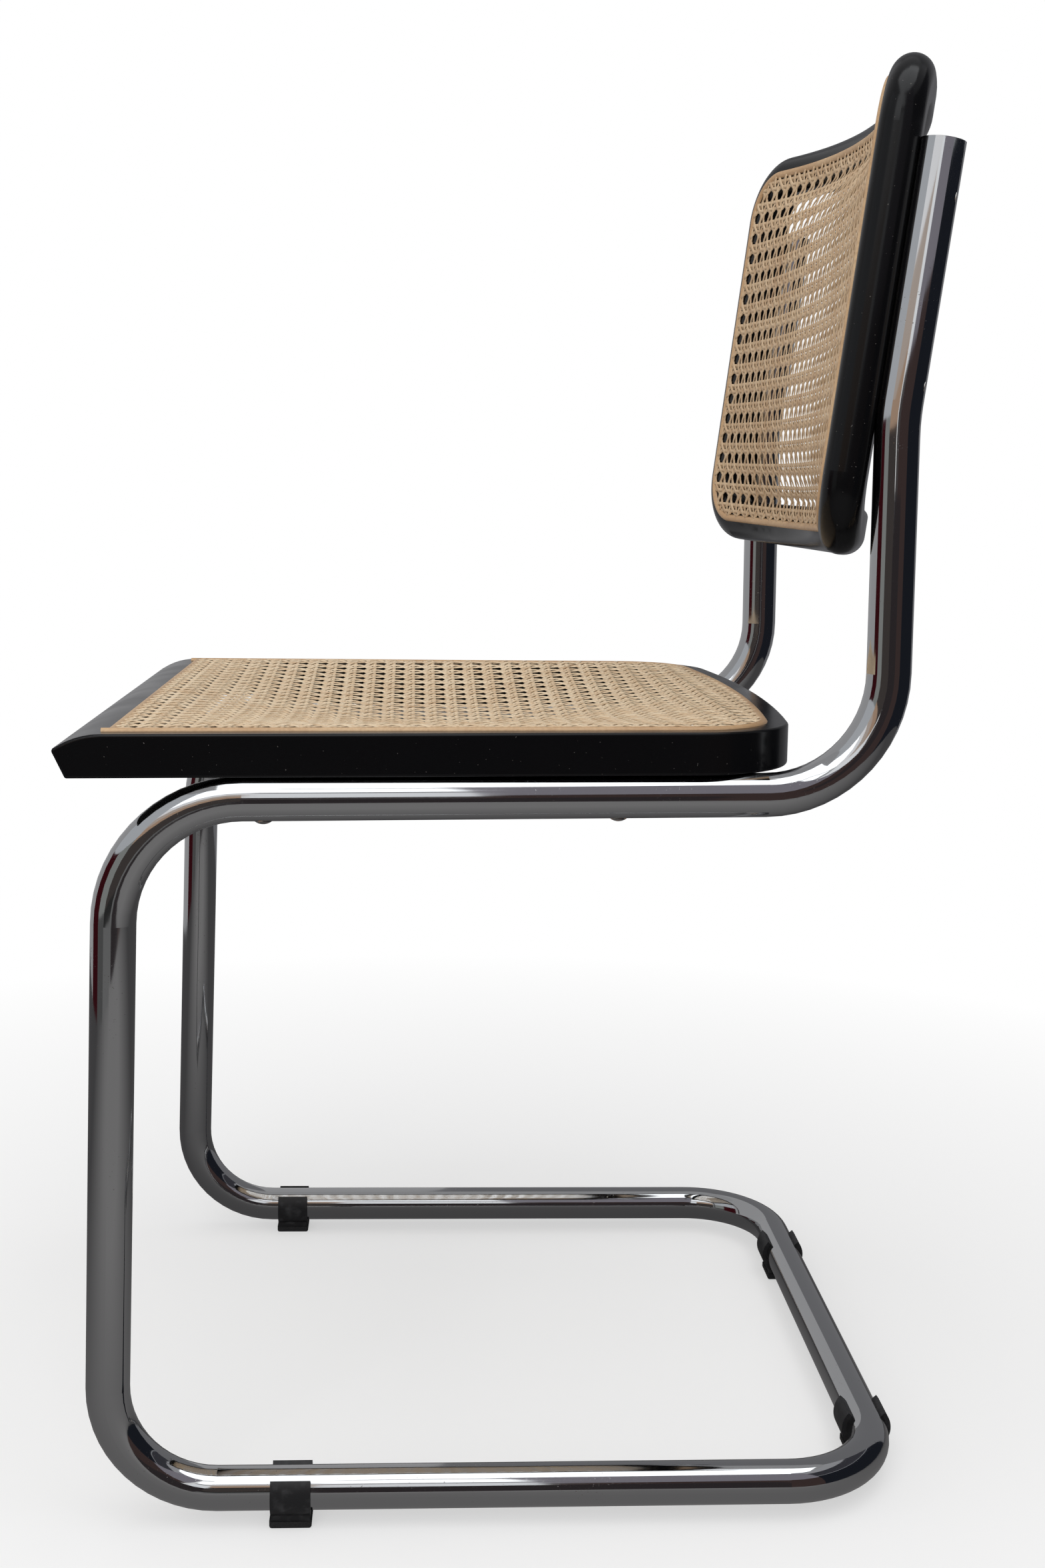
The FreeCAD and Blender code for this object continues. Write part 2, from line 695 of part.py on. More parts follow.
def seat():
    """Front rail, bent rim, dowels, splines, cane and screws of the seat."""
    nose = size("seat_nose") - OVERSHOOT
    plan = shape_feature("seat_plan", seat_face(0, nose, 0))
    plank = extrusion("seat_plank", plan, Z_AXIS, "sizes.seat_thickness", seat_frame)
    blank = softened("seat_blank", common("seat_sharp_blank", plank, seat_section()))

    opening = shape_feature(
        "seat_opening_plan", seat_face(size("rim_width"), size("front_rail_rear"), -OVERSHOOT))
    opening = extrusion(
        "seat_opening", opening, Z_AXIS, "sizes.seat_thickness + %d" % (2 * OVERSHOOT), seat_frame)
    ring = cut("seat_ring", blank, opening)

    screws = seat_screws()
    dowels = seat_dowels()
    splines = seat_splines()
    width = size("seat_front_half") + MARGIN
    rear = size("seat_rear") + MARGIN
    height = (-OVERSHOOT, size("seat_thickness") + OVERSHOOT)
    joint = size("front_rail_rear")
    ahead = block("seat_ahead", (-width, width), (nose - MARGIN, joint), height, seat_frame)
    behind = block("seat_behind", (-width, width), (joint, rear), height, seat_frame)
    front_rail = common("seat_front_blank", ring, ahead)
    rim = common("seat_rim_blank", ring, behind)
    keep(cut("seat_front_rail", front_rail, dowels, *splines))
    keep(cut("seat_rim", rim, dowels, screws, splines[0]))
    seat_cane()
    return screws


# The back, in a frame of its own. X goes across, Y to the rear and Z along the leaning
# stiles. The stiles' axes are in the plane y = 0, and z = 0 is halfway up.

bow = math.radians(size("back_bow_angle"))
contact = size("tube_diameter") / 2 + size("back_thickness") / 2 - size("saddle_depth")
stile_x = size("upright_half_width") - contact * math.sin(bow)
rail_radius = (stile_x - size("back_corner_radius") * math.cos(bow)) / math.sin(bow)
rail_centre = Vector(
    0, size("back_corner_radius") * math.sin(bow) - rail_radius * math.cos(bow), 0)
back_depth = contact * math.cos(bow) / math.cos(math.radians(size("lean")))
back_frame = Placement(
    Vector(0, upright_axis_y(size("back_centre_height")) - back_depth, size("back_centre_height")),
    Rotation(X_AXIS, -size("lean")))


def rearwards(side):
    """Direction square to the frame's front face at a rail's end and along its stile."""
    return Vector(side * math.sin(bow), math.cos(bow), 0)


def outwards(side):
    """Direction in which a rail ends."""
    return Vector(side * math.cos(bow), -math.sin(bow), 0)


def rail_end(side, level):
    """Where a rail's axis meets its corner. level is 1 at the top and -1 at the bottom."""
    return rail_centre + rearwards(side) * rail_radius + Z_AXIS * level * size("back_half_height")


def frame_section(name, place):
    """Wooden frame's section: round outside, a groove, a flat front, and softened inside."""
    sketch = doc.addObject("Sketcher::SketchObject", name)
    half = "sizes.back_thickness / 2"
    edge = "sizes.back_width / 2"
    groove_floor = "sizes.spline_depth - " + half
    groove_inner = ROUND_END + " - sizes.spline_width"
    soft = "sizes.inner_round"
    corners = [
        (half, ROUND_END),
        ("0", edge),
        ("-" + half, ROUND_END),
        (groove_floor, ROUND_END),
        (groove_floor, groove_inner),
        ("-" + half, groove_inner),
        ("-" + half, soft + " - " + edge),
        (soft + " - " + half, "-" + edge),
        (half + " - " + soft, "-" + edge),
        (half, soft + " - " + edge),
    ]
    arcs = {0: half, 1: half, 6: soft, 8: soft}
    draw_outline(sketch, corners, arcs)
    sketch.Placement = place
    return sketch


def spline_section(name, place):
    """Reed spline's section in the groove of the back frame."""
    sketch = doc.addObject("Sketcher::SketchObject", name)
    face = "-sizes.back_thickness / 2"
    groove_inner = ROUND_END + " - sizes.spline_width"
    corners = [
        (face + " + sizes.spline_depth", groove_inner),
        (face + " + sizes.spline_depth", ROUND_END),
        (face, ROUND_END),
        (face, groove_inner),
    ]
    draw_outline(sketch, corners, {2: SPLINE_CROWN_RADIUS})
    sketch.Placement = place
    return sketch


def back_rail(name, draw_section, level):
    """Bowed stretch between two corners."""
    place = facing(rail_end(1, level), rearwards(1), Z_AXIS * level)
    section = draw_section(name + "_section", place)
    return revolution(name, section, rail_centre, Z_AXIS, "2 * sizes.back_bow_angle", back_frame)


def back_corner(name, draw_section, side, level):
    """Quarter turn from a rail to a stile."""
    end = rail_end(side, level)
    section = draw_section(name + "_section", facing(end, rearwards(side), Z_AXIS * level))
    centre = end - Z_AXIS * level * size("back_corner_radius")
    return revolution(name, section, centre, rearwards(side) * side * level, "90", back_frame)


def back_stile(name, draw_section, side):
    """Straight stretch between the upper and the lower corner."""
    radius = size("back_corner_radius")
    start = rail_end(side, 1) + outwards(side) * radius - Z_AXIS * radius
    section = draw_section(name + "_section", facing(start, rearwards(side), outwards(side)))
    length = "2 * (sizes.back_half_height - sizes.back_corner_radius)"
    return extrusion(name, section, Z_AXIS * -1, length, back_frame)


def back_spline():
    """Reed spline all the way round, whose ends meet in the middle of the bottom."""
    stretches = []
    for level_name, level in (("top", 1), ("bottom", -1)):
        stretches.append(back_rail("spline_%s" % level_name, spline_section, level))
        for side_name, side in SIDES:
            name = "spline_%s_%s" % (level_name, side_name)
            stretches.append(back_corner(name, spline_section, side, level))
    for side_name, side in SIDES:
        stretches.append(back_stile("spline_" + side_name, spline_section, side))
    half_gap = size("spline_gap") / 2
    depth = (0, 2 * size("back_thickness"))
    bottom = (-2 * size("back_half_height"), 0)
    gap = block("spline_gap", (-half_gap, half_gap), depth, bottom, back_frame)
    return keep(cut("back_spline", fused("spline_loop", stretches), gap))


def back_dowels():
    """A dowel in each joint between a rail's corner and a stile, along the stile."""
    dowels = []
    for side_name, side in SIDES:
        for level_name, level in (("top", 1), ("bottom", -1)):
            radius = size("back_corner_radius")
            joint = rail_end(side, level) + outwards(side) * radius - Z_AXIS * level * radius
            centre = joint + rearwards(side) * size("back_dowel_setback")
            frame = back_frame * Placement(centre, Rotation())
            name = "back_dowel_%s_%s" % (level_name, side_name)
            dowels.append(cylinder(name, "sizes.dowel_diameter", "sizes.back_dowel_length", frame))
    return keep(compound("back_dowels", dowels))


def back_screws():
    """Four screws from behind, square to the stiles, through the uprights."""
    screws = []
    for side_name, side in SIDES:
        for place_name in ("high", "low"):
            height = size("back_screw_" + place_name)
            rear = contact + size("tube_diameter") / 2 - size("screw_seat")
            seat = Vector(side * stile_x, 0, height) + rearwards(side) * rear
            heading = Rotation(Z_AXIS, rearwards(side) * -1)
            frame = back_frame * Placement(seat, heading)
            name = "back_screw_%s_%s" % (place_name, side_name)
            screws.append(screw(name, "back", frame, SCREW_LENGTH))
    return keep(compound("back_screws", screws))


def back_openings():
    """Prisms that cut the openings of the back's cane, each square to the bowed surface."""
    front = rail_radius - size("back_thickness") / 2
    depth = size("cane_thickness") + 2 * OVERSHOOT
    prisms = []
    for face, across, along in openings(int(size("back_opening_columns")), int(size("back_opening_rows"))):
        turn = across / front
        behind = Vector(math.sin(turn), math.cos(turn), 0)
        start = rail_centre + behind * (front + OVERSHOOT) + Z_AXIS * along
        face.Placement = facing(start, Vector(math.cos(turn), -math.sin(turn), 0), Z_AXIS)
        prisms.append(face.extrude(behind * -depth))
    cutters = shape_feature("back_openings", Part.makeCompound(prisms))
    cutters.Placement = back_frame
    return cutters


def back_cane():
    """Cane on the frame's front face, inside the spline, curved between the corners."""
    inset = size("spline_width") - value(ROUND_END)
    front = -size("back_thickness") / 2
    half_height = size("back_half_height") - inset
    radius = size("back_corner_radius") - inset
    thickness = Vector(size("cane_thickness"), 0, 0)
    start = facing(rail_end(1, 0), rearwards(1), Z_AXIS)
    low = Vector(front - thickness.x, -half_height, 0)
    high = Vector(front - thickness.x, half_height, 0)
    strip = Part.makePolygon([low, low + thickness, high + thickness, high, low])
    strip = shape_feature("back_cane_section", Part.Face(strip))
    strip.Placement = start
    members = [revolution(
        "back_cane_middle", strip, rail_centre, Z_AXIS, "2 * sizes.back_bow_angle", back_frame)]

    top = Vector(0, half_height, 0)
    turn_top = Vector(radius, half_height - radius, 0)
    mid_top = Vector(radius * math.sin(math.pi / 4), half_height - radius * (1 - math.cos(math.pi / 4)), 0)
    turn_low = Vector(turn_top.x, -turn_top.y, 0)
    mid_low = Vector(mid_top.x, -mid_top.y, 0)
    bottom = Vector(0, -half_height, 0)
    flap = Part.Wire([
        Part.LineSegment(bottom, top).toShape(),
        Part.Arc(top, mid_top, turn_top).toShape(),
        Part.LineSegment(turn_top, turn_low).toShape(),
        Part.Arc(turn_low, mid_low, bottom).toShape(),
    ])
    for side_name, side in SIDES:
        face = shape_feature("back_cane_flap_" + side_name, Part.Face(flap))
        face.Placement = facing(rail_end(side, 0) + rearwards(side) * front, outwards(side), Z_AXIS)
        members.append(extrusion(
            "back_cane_" + side_name, face, rearwards(side) * -1, "sizes.cane_thickness", back_frame))
    return keep(cut("back_cane", fused("back_cane_sheet", members), back_openings()))


def back():
    """Bowed rails with their corners, stiles, dowels, spline, cane and screws of the back."""
    dowels = back_dowels()
    screws = back_screws()
    for level_name, level in (("top", 1), ("bottom", -1)):
        name = "back_%s_rail" % level_name
        stretches = [back_rail(name + "_bow", frame_section, level)]
        for side_name, side in SIDES:
            stretches.append(back_corner("%s_%s_corner" % (name, side_name), frame_section, side, level))
        keep(cut(name, fused(name + "_blank", stretches), dowels))
    for side_name, side in SIDES:
        name = "back_stile_" + side_name
        stile = back_stile(name + "_blank", frame_section, side)
        keep(cut(name, stile, tube_outside, plugs[side], dowels, screws))
    back_spline()
    back_cane()
    return screws


seat_screw_set = seat()
back_screw_set = back()
keep(cut("tube_frame", tube_outside, tube_bore, seat_screw_set, back_screw_set))

doc.recompute()
for item in doc.Objects:
    if "Invalid" in item.State or "Error" in item.State:
        raise RuntimeError("%s failed: %s" % (item.Label, item.State))
for piece in sub_parts:
    if piece.Shape.isNull() or not piece.Shape.isValid():
        raise RuntimeError("%s has no valid shape" % piece.Label)

os.makedirs("parts", exist_ok=True)
for piece in sub_parts:
    piece.Shape.exportStep("parts/%s.step" % piece.Label)
    box = piece.Shape.BoundBox
    print("%-26s %d solid(s) %9.0f mm3  x %7.1f %7.1f  y %7.1f %7.1f  z %6.1f %6.1f" % (
        piece.Label, len(piece.Shape.Solids), piece.Shape.Volume,
        box.XMin, box.XMax, box.YMin, box.YMax, box.ZMin, box.ZMax))
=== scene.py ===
"""Looks of a cantilever chair: chromed tube, black lacquered frames, woven cane and reed splines.

Metres, and right is +X. The chair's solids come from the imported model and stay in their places. The two
panels of cane are woven here, on surfaces that are given by the sizes of the seat and of the back.
"""

import json
import math

import bpy
import numpy as np
from mathutils import Matrix, Vector


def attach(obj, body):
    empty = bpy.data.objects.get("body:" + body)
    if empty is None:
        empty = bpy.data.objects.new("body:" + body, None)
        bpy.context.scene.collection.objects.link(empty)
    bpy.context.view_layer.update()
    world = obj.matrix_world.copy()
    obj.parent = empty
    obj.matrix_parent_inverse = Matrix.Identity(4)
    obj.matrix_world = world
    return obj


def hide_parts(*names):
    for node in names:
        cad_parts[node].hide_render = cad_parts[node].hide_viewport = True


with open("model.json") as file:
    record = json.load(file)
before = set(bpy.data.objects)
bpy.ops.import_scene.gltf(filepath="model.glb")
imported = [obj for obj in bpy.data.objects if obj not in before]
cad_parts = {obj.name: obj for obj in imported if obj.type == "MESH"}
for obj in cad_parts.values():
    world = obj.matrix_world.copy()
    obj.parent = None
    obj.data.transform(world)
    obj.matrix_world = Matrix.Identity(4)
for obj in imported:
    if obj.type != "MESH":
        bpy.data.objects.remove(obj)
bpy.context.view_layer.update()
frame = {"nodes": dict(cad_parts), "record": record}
nodes = frame["nodes"]

MM = 0.001

# Camera

IMAGE_HEIGHT = 2352
FOCAL_PIXELS = 2752.0
SENSOR = 36.0
NEAREST_SEEN = 0.02
CAMERA_PLACE = Vector((1.2058, -0.0598, 0.5940))
CAMERA_YAW = math.radians(3.579)
CAMERA_PITCH = math.radians(9.108)
CAMERA_ROLL = math.radians(1.249)


def add_camera():
    """Camera beside the chair, looking along -X, a little down and a little to the rear."""
    level = Vector((-math.cos(CAMERA_YAW), math.sin(CAMERA_YAW), 0))
    side = Vector((math.sin(CAMERA_YAW), math.cos(CAMERA_YAW), 0))
    up = Vector((0, 0, 1))
    ahead = level * math.cos(CAMERA_PITCH) - up * math.sin(CAMERA_PITCH)
    upright = level * math.sin(CAMERA_PITCH) + up * math.cos(CAMERA_PITCH)
    right = side * math.cos(CAMERA_ROLL) + upright * math.sin(CAMERA_ROLL)
    top = upright * math.cos(CAMERA_ROLL) - side * math.sin(CAMERA_ROLL)
    data = bpy.data.cameras.new("camera")
    data.sensor_width = SENSOR
    data.lens = FOCAL_PIXELS / IMAGE_HEIGHT * SENSOR
    data.clip_start = NEAREST_SEEN
    camera = bpy.data.objects.new("camera", data)
    bpy.context.scene.collection.objects.link(camera)
    turn = Matrix((right, top, -ahead)).transposed()
    camera.matrix_world = Matrix.Translation(CAMERA_PLACE) @ turn.to_4x4()
    bpy.context.scene.camera = camera


add_camera()


# Materials

class Nodes:
    """Short names for making a material's nodes."""

    def __init__(self, name):
        self.material = bpy.data.materials.new(name)
        self.material.use_nodes = True
        self.tree = self.material.node_tree
        self.shader = self.tree.nodes["Principled BSDF"]

    def add(self, kind, **settings):
        """New node, with properties given by name."""
        node = self.tree.nodes.new(kind)
        for key, setting in settings.items():
            setattr(node, key, setting)
        return node

    def link(self, source, target):
        """Joins two sockets."""
        self.tree.links.new(source, target)

    def put(self, socket, amount):
        """Gives a socket a plain value, or joins it to another socket."""
        if hasattr(amount, "is_output"):
            self.link(amount, socket)
        else:
            socket.default_value = amount

    def set(self, **amounts):
        """Values of the shader's own sockets, with _ for each space."""
        for key, amount in amounts.items():
            self.put(self.shader.inputs[key.replace("_", " ")], amount)

    def place(self, scale=(1, 1, 1)):
        """The object's own coordinates in metres, scaled."""
        coordinates = self.add("ShaderNodeTexCoord")
        mapping = self.add("ShaderNodeMapping")
        mapping.inputs["Scale"].default_value = scale
        self.link(coordinates.outputs["Object"], mapping.inputs["Vector"])
        return mapping.outputs["Vector"]

    def noise(self, vector, scale, detail=2.0, roughness=0.5):
        """Noise from 0 to 1, with scale waves to the metre."""
        noise = self.add("ShaderNodeTexNoise")
        noise.inputs["Scale"].default_value = scale
        noise.inputs["Detail"].default_value = detail
        noise.inputs["Roughness"].default_value = roughness
        self.link(vector, noise.inputs["Vector"])
        return noise.outputs["Fac"]

    def spread(self, amount, low, high, to_low=0.0, to_high=1.0):
        """Stretches low..high to to_low..to_high, held at both ends."""
        spread = self.add("ShaderNodeMapRange")
        self.put(spread.inputs["Value"], amount)
        ends = {"From Min": low, "From Max": high, "To Min": to_low, "To Max": to_high}
        for socket, number in ends.items():
            spread.inputs[socket].default_value = number
        return spread.outputs["Result"]

    def math(self, operation, first, second):
        """One sum of two numbers."""
        node = self.add("ShaderNodeMath", operation=operation)
        self.put(node.inputs[0], first)
        self.put(node.inputs[1], second)
        return node.outputs["Value"]

    def mix(self, amount, first, second):
        """Colour between two colours."""
        node = self.add("ShaderNodeMix", data_type="RGBA")
        factor, first_colour, second_colour = node.inputs[0], node.inputs[6], node.inputs[7]
        self.put(factor, amount)
        self.put(first_colour, first)
        self.put(second_colour, second)
        return node.outputs[2]

    def bump(self, height, distance, strength=1.0):
        """Normal of a surface raised by height times distance, in metres."""
        node = self.add("ShaderNodeBump")
        node.inputs["Strength"].default_value = strength
        node.inputs["Distance"].default_value = distance
        self.put(node.inputs["Height"], height)
        return node.outputs["Normal"]


def colour(red, green, blue):
    """Colour with full alpha."""
    return (red, green, blue, 1.0)


def chrome():
    """Bright plating on steel, with a haze of dust and patches of small pits."""
    make = Nodes("chrome")
    place = make.place()
    pits = make.spread(make.noise(place, scale=900), 0.70, 0.76)
    where = make.spread(make.noise(place, scale=14), 0.50, 0.62)
    pitted = make.math("MULTIPLY", pits, where)
    haze = make.noise(place, scale=30, detail=4.0)
    polish = make.spread(haze, 0.35, 0.7, to_low=0.05, to_high=0.09)
    make.set(
        Base_Color=make.mix(pitted, colour(0.55, 0.555, 0.56), colour(0.36, 0.33, 0.30)),
        Metallic=1.0,
        Roughness=make.math("ADD", polish, make.math("MULTIPLY", pitted, 0.3)),
        Normal=make.bump(make.math("MULTIPLY", pitted, -1.0), 0.04 * MM),
    )
    return make.material


def plug_metal():
    """Plating of the plugs, a little duller than the tube's."""
    make = Nodes("plug_metal")
    haze = make.noise(make.place(), scale=120, detail=3.0)
    make.set(
        Base_Color=colour(0.55, 0.55, 0.555),
        Metallic=1.0,
        Roughness=make.spread(haze, 0.3, 0.7, to_low=0.12, to_high=0.22),
    )
    return make.material


def lacquer():
    """Black satin lacquer over fine pores, with specks of dust."""
    make = Nodes("black_lacquer")
    place = make.place()
    pores = make.noise(make.place(scale=(1, 0.12, 1)), scale=1500, detail=3.0)
    film = make.noise(place, scale=25, detail=5.0)
    specks = make.spread(make.noise(place, scale=700, detail=1.0), 0.77, 0.80)
    make.set(
        Base_Color=make.mix(specks, colour(0.0028, 0.0028, 0.0032), colour(0.07, 0.065, 0.06)),
        Roughness=make.spread(film, 0.3, 0.7, to_low=0.15, to_high=0.23),
        Specular_IOR_Level=0.22,
        Normal=make.bump(pores, 0.01 * MM, strength=0.35),
    )
    return make.material


def bare_wood():
    """Pale beech with fine flecks."""
    make = Nodes("bare_beech")
    grain = make.noise(make.place(scale=(0.15, 1, 1)), scale=260, detail=4.0)
    flecks = make.spread(grain, 0.35, 0.65)
    make.set(
        Base_Color=make.mix(flecks, colour(0.55, 0.34, 0.19), colour(0.68, 0.47, 0.29)),
        Roughness=0.55,
        Normal=make.bump(grain, 0.1 * MM, strength=0.3),
    )
    return make.material


def reed():
    """Smooth reed of the splines, dull tan, with dark fibres."""
    make = Nodes("reed")
    fibres = make.noise(make.place(), scale=500, detail=4.0)
    patches = make.noise(make.place(), scale=18, detail=3.0)
    tan = make.mix(make.spread(patches, 0.35, 0.65), colour(0.42, 0.26, 0.135), colour(0.52, 0.36, 0.21))
    make.set(
        Base_Color=make.mix(make.spread(fibres, 0.4, 0.9, to_high=0.6), tan, colour(0.28, 0.15, 0.07)),
        Roughness=make.spread(patches, 0.3, 0.7, to_low=0.34, to_high=0.48),
        Normal=make.bump(fibres, 0.1 * MM, strength=0.35),
    )
    return make.material


def cane(name, pale, deep, stain):
    """Peeled cane, from pale to deep by strand and by patch, and stained in places."""
    make = Nodes(name)
    place = make.place()
    strand_tone = make.add("ShaderNodeAttribute", attribute_name="strand_tone").outputs["Fac"]
    patches = make.noise(place, scale=60, detail=3.0)
    fibres = make.noise(place, scale=1400)
    tone = make.math("ADD", make.math("MULTIPLY", strand_tone, 0.6), make.math("MULTIPLY", patches, 0.5))
    body = make.mix(make.spread(tone, 0.3, 0.85), pale, deep)
    blotches = make.noise(place, scale=22, detail=5.0, roughness=0.7)
    make.set(
        Base_Color=make.mix(make.spread(blotches, 0.60, 0.74, to_high=0.55), body, stain),
        Roughness=make.spread(patches, 0.3, 0.7, to_low=0.38, to_high=0.52),
        Normal=make.bump(fibres, 0.06 * MM, strength=0.4),
    )
    return make.material


def clip_plastic():
    """Black moulded plastic with a dull bloom in patches."""
    make = Nodes("clip_plastic")
    grain = make.noise(make.place(), scale=1800)
    bloom = make.noise(make.place(), scale=160, detail=3.0)
    dull = make.spread(bloom, 0.5, 0.8)
    make.set(
        Base_Color=make.mix(dull, colour(0.008, 0.008, 0.009), colour(0.03, 0.03, 0.032)),
        Roughness=make.spread(bloom, 0.3, 0.7, to_low=0.42, to_high=0.6),
        Normal=make.bump(grain, 0.04 * MM, strength=0.4),
    )
    return make.material


def felt():
    """Pressed black felt with lint."""
    make = Nodes("felt")
    fibres = make.noise(make.place(), scale=2600, detail=4.0, roughness=0.8)
    lint = make.spread(fibres, 0.45, 0.75)
    make.set(
        Base_Color=make.mix(lint, colour(0.008, 0.008, 0.009), colour(0.045, 0.044, 0.045)),
        Roughness=0.95,
        Normal=make.bump(fibres, 0.6 * MM, strength=0.8),
    )
    return make.material


def screw_steel():
    """Plated screws with a little rust."""
    make = Nodes("screw_steel")
    rust = make.spread(make.noise(make.place(), scale=500, detail=4.0), 0.52, 0.68)
    make.set(
        Base_Color=make.mix(rust, colour(0.50, 0.49, 0.47), colour(0.22, 0.10, 0.045)),
        Metallic=make.spread(rust, 0, 1, to_low=1.0, to_high=0.3),
        Roughness=make.spread(rust, 0, 1, to_low=0.28, to_high=0.7),
    )
    return make.material


# Cane on the two panels: pale, deep and stained

SEAT_CANE = (colour(0.66, 0.53, 0.37), colour(0.56, 0.41, 0.26), colour(0.42, 0.24, 0.12))
BACK_CANE = (colour(0.52, 0.38, 0.24), colour(0.43, 0.29, 0.17), colour(0.33, 0.18, 0.085))

materials = {
    "tube_chrome": chrome(),
    "plug_chrome": plug_metal(),
    "lacquered_wood": lacquer(),
    "dowel_wood": bare_wood(),
    "reed_spline": reed(),
    "seat_cane": cane("seat_cane", *SEAT_CANE),
    "back_cane": cane("back_cane", *BACK_CANE),
    "clip_plastic": clip_plastic(),
    "felt": felt(),
    "screw_steel": screw_steel(),
}

SMOOTH_BELOW = math.radians(35)


def dress_frame():
    """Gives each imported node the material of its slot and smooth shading."""
    for part in frame["record"]["subparts"]:
        node = nodes[part["node"]]
        node.data.materials.clear()
        node.data.materials.append(materials[part["material_slot"]])
        node.data.polygons.foreach_set("use_smooth", [True] * len(node.data.polygons))
        node.data.set_sharp_from_angle(angle=SMOOTH_BELOW)


dress_frame()


# Pattern of the cane: upright and level pairs of strands, with diagonals between them

PITCH = 14.5 * MM
PAIR_GAP = 4.6 * MM
STRAND_WIDTH = 2.5 * MM
DIAGONAL_WIDTH = 2.8 * MM
STRAND_THICKNESS = 0.7 * MM
PAIR_LIFT = 0.33 * MM
DIAGONAL_LIFT = 0.6 * MM
STEPS_PER_PITCH = 6
LEAST_STEPS = 3

# How far single strands stray from the pattern: sideways at some places along them, in height and in width

SWAY = 0.1 * MM
SWAY_PLACES = 9
STRAY_LIFT = 0.03 * MM
STRAY_WIDTH = 0.05

# Section of a strand, flat below and crowned above, in shares of its width and its thickness

SECTION = np.array([(-0.46, -0.5), (0.46, -0.5), (0.5, 0.05), (0.0, 0.5), (-0.5, 0.05)])

UPRIGHT = np.array((0, 1))
LEVEL = np.array((1, 0))

# Distance that lies past every panel, and the slope towards an edge below which a line never meets it

PAST_ANY_PANEL = 9.0
LEAST_SLOPE = 1e-12


def pair_height(heading, order):
    """Height function of one strand of a pair: down, then up, at each crossing. Order -1 reverses it."""
    def height(points):
        along = points @ heading
        away = (along / PITCH - np.round(along / PITCH)) * PITCH / (PAIR_GAP / 2)
        return order * (PAIR_LIFT * away * np.exp(0.5 - 0.5 * away ** 2))
    return height


def diagonal_height(order):
    """Height function of a diagonal: up at upright pairs and down at level ones. Order -1 reverses it."""
    def height(points):
        return order * (DIAGONAL_LIFT * np.cos(2 * math.pi * (points @ LEVEL) / PITCH))
    return height


def clipped(start, heading, outline):
    """Part of a line inside a convex outline that runs anticlockwise, as two distances, or None."""
    low, high = -PAST_ANY_PANEL, PAST_ANY_PANEL
    for first, second in zip(outline, np.roll(outline, -1, axis=0)):
        edge = second - first
        outwards = np.array((edge[1], -edge[0]))
        rate = outwards @ heading
        room = outwards @ (first - start)
        if abs(rate) < LEAST_SLOPE:
            if room < 0:
                return None
        elif rate > 0:
            high = min(high, room / rate)
        else:
            low = max(low, room / rate)
    return (low, high) if high - low > PAIR_GAP else None


def weave_lines(outline):
    """Start, heading, width and height function of every strand that may cross the outline."""
    low, high = outline.min(axis=0), outline.max(axis=0)
    lines = []
    for heading, across, order in ((UPRIGHT, LEVEL, -1), (LEVEL, UPRIGHT, 1)):
        for step in range(math.floor(low @ across / PITCH), math.ceil(high @ across / PITCH) + 1):
            for side in (-1, 1):
                start = across * (step * PITCH + side * PAIR_GAP / 2)
                lines.append((start, heading, STRAND_WIDTH, pair_height(heading, side * order)))
    reach = math.ceil((np.abs(outline).sum(axis=1)).max() / PITCH) + 1
    for slope in (-1, 1):
        heading = (LEVEL + UPRIGHT * slope) / math.sqrt(2)
        for step in range(-reach, reach):
            start = UPRIGHT * ((step + 0.5) * PITCH)
            lines.append((start, heading, DIAGONAL_WIDTH, diagonal_height(slope)))
    return lines


def strand(start, heading, width, height, span, random):
    """Points of one strand, a ring of the section at every step along it."""
    steps = max(LEAST_STEPS, math.ceil((span[1] - span[0]) / PITCH * STEPS_PER_PITCH))
    run = np.linspace(span[0], span[1], steps + 1)
    middle = start + run[:, None] * heading
    sway_at = np.linspace(span[0], span[1], SWAY_PLACES)
    sway = np.interp(run, sway_at, random.normal(0, SWAY, SWAY_PLACES))
    side = np.array((heading[1], -heading[0]))
    middle = middle + sway[:, None] * side
    lift = height(middle) + random.normal(0, STRAY_LIFT)
    breadth = width * random.normal(1, STRAY_WIDTH)
    flat = middle[:, None, :] + side * (SECTION[:, 0] * breadth)[None, :, None]
    rise = lift[:, None] + (SECTION[:, 1] * STRAND_THICKNESS)[None, :]
    return np.concatenate((flat, rise[:, :, None]), axis=2).reshape(-1, 3)


def strand_faces(first, steps):
    """Sides with four corners, and the two end caps, of a strand whose points are numbered from first."""
    count = len(SECTION)
    ring = np.arange(count)
    after = (ring + 1) % count
    rows = (np.arange(steps) * count)[:, None] + first
    sides = np.stack((rows + ring, rows + after, rows + count + after, rows + count + ring), axis=2)
    return sides.reshape(-1, 4), [first + ring[::-1], first + steps * count + ring]


def add_panel(name, points, sides, caps, tones):
    """Object with the strands' points, sides and end caps, and a tone at each point."""
    count = len(SECTION)
    loops = np.concatenate((sides.ravel(), caps))
    sizes = np.concatenate((np.full(len(sides), 4), np.full(len(caps) // count, count)))
    mesh = bpy.data.meshes.new(name)
    mesh.vertices.add(len(points))
    mesh.vertices.foreach_set("co", points.ravel())
    mesh.loops.add(len(loops))
    mesh.loops.foreach_set("vertex_index", loops.astype(np.int32))
    mesh.polygons.add(len(sizes))
    mesh.polygons.foreach_set("loop_start", (np.cumsum(sizes) - sizes).astype(np.int32))
    mesh.polygons.foreach_set("use_smooth", [True] * len(sizes))
    mesh.update(calc_edges=True)
    tone = mesh.attributes.new("strand_tone", "FLOAT", "POINT")
    tone.data.foreach_set("value", tones.astype(np.float32))
    piece = bpy.data.objects.new(name, mesh)
    bpy.context.scene.collection.objects.link(piece)
    return piece


